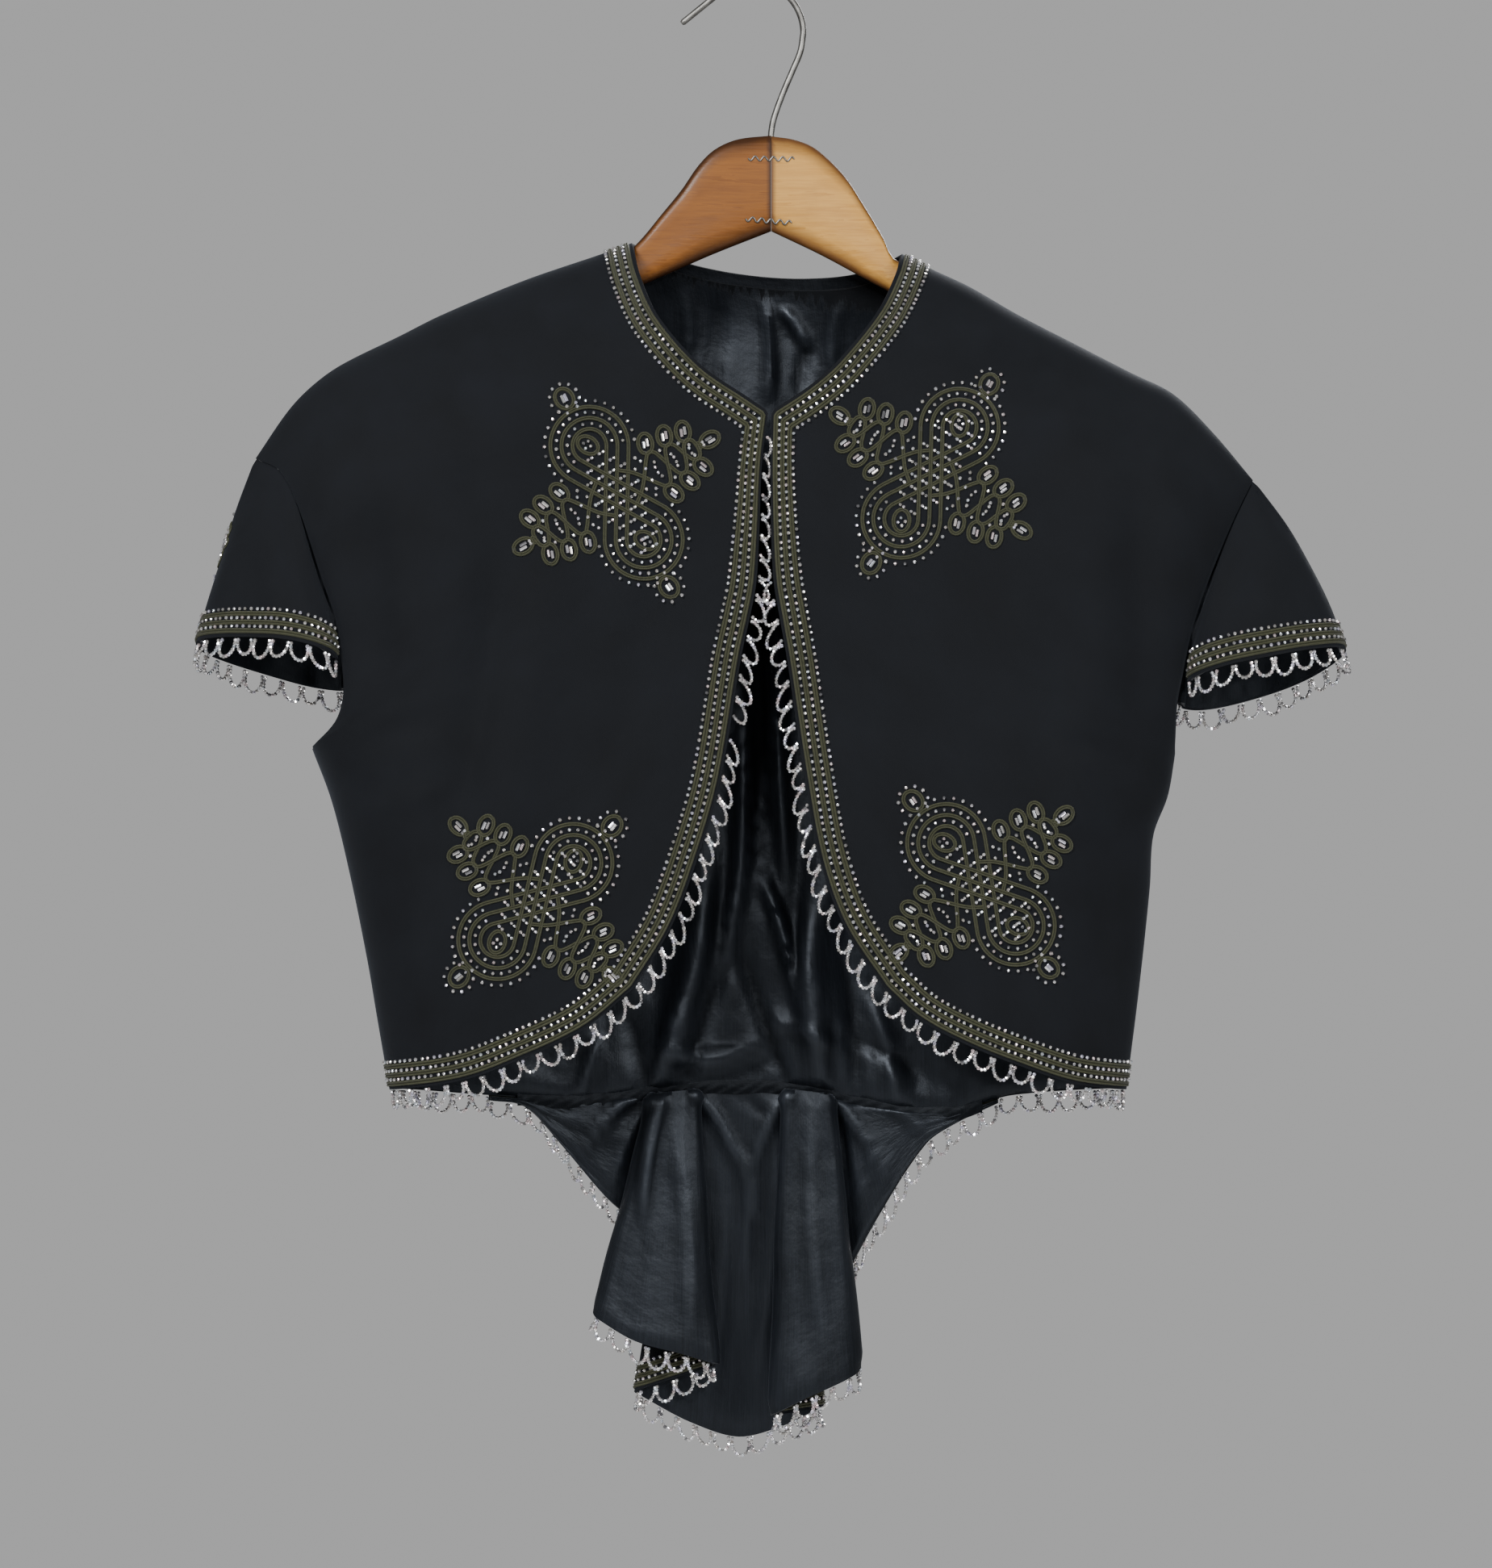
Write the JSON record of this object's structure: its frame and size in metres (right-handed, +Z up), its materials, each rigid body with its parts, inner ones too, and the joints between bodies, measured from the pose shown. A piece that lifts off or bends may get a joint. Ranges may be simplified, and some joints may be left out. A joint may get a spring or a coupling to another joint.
{
  "type": "cropped shrug on a clothes hanger",
  "caption": "Short dark jacket with cap sleeves, cutaway fronts and a longer pleated tail, edged with braid and strung beads, hung on a wooden clothes hanger.",
  "frame": {"origin": "underside of the hook's wire at its top, where a rail carries the hanger", "axes": "+Z up, +X to the right as seen from the front, and the garment's front faces -Y"},
  "size_m": [0.6492, 0.1425, 0.8432],
  "materials": {
    "wool": "matt black napped wool",
    "silk": "black silk satin with a soft sheen",
    "braid": "olive soutache braid",
    "bead": "cut silver-lined glass beads",
    "wood_left": "varnished brown wood",
    "wood_right": "varnished light wood",
    "steel": "dull steel wire"
  },
  "bodies": {
    "root": {"front_left": "wool", "front_right": "wool", "back": "wool", "tail": "wool", "sleeve_left": "wool", "sleeve_right": "wool", "lining_back": "silk", "lining_tail": "silk", "lining_sleeve_left": "silk", "lining_sleeve_right": "silk", "border_front_left": "braid", "border_front_right": "braid", "border_sleeve_left": "braid", "border_sleeve_right": "braid", "border_back_neck": "braid", "border_hem_left": "braid", "border_hem_right": "braid", "border_tail": "braid", "knot_top_left": "braid", "knot_top_right": "braid", "knot_low_left": "braid", "knot_low_right": "braid", "knot_sleeve_left": "braid", "knot_sleeve_right": "braid", "swags_front_left": "bead", "swags_front_right": "bead", "swags_sleeve_left": "bead", "swags_sleeve_right": "bead", "swags_tail_side_left": "bead", "swags_tail_lobe_left": "bead", "swags_tail_centre": "bead", "swags_tail_lobe_right": "bead", "swags_tail_side_right": "bead", "hanger_arm_left": "wood_left", "hanger_arm_right": "wood_right", "hanger_hook": "steel"}
  },
  "joints": []
}
